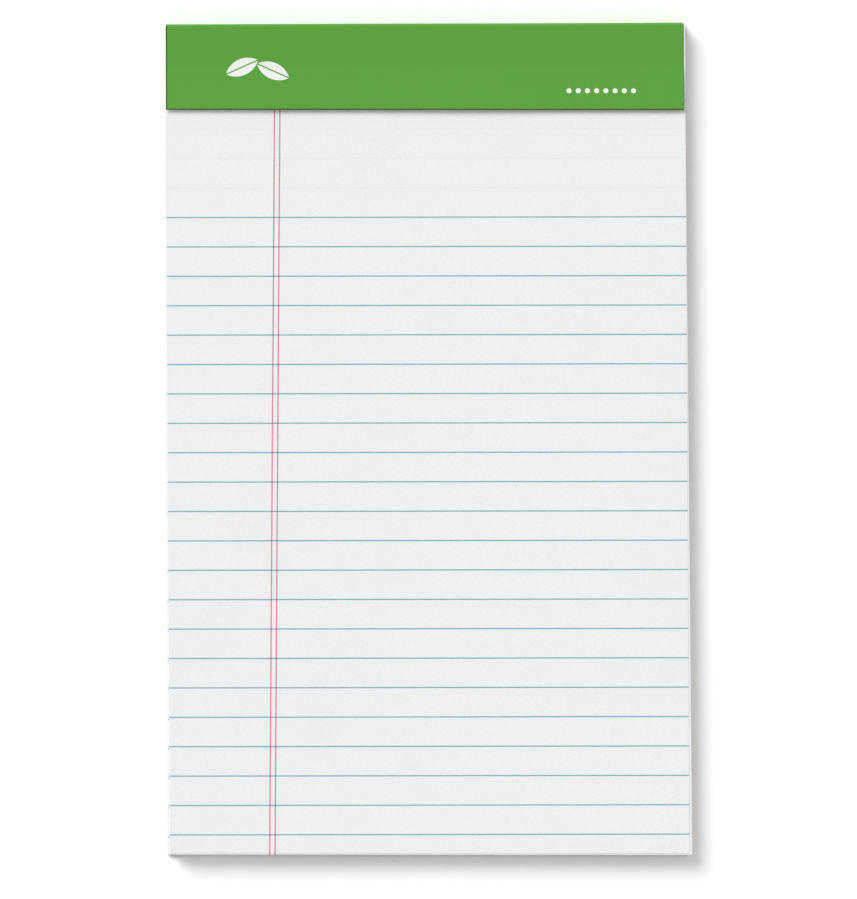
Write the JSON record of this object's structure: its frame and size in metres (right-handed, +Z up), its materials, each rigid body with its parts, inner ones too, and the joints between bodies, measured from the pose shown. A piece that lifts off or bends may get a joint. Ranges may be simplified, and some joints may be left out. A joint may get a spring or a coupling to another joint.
{
  "type": "legal pad",
  "caption": "Perforated ruled writing pad on a stiff grey board, stapled at the head under a folded green paper band.",
  "frame": {"origin": "on the surface the pad lies on, below the middle of its board", "axes": "+Y points to the bound head, +X to the reader's right, +Z up out of the writing side"},
  "size_m": [0.1284, 0.2038, 0.007],
  "materials": {
    "sheets": "matte",
    "board": "matte",
    "band": "satin",
    "staple_wire": "satin"
  },
  "bodies": {
    "root": {"sheet_block": "sheets", "backing_board": "board", "header_band": "band", "staple_left": "staple_wire", "staple_right": "staple_wire"}
  },
  "joints": []
}
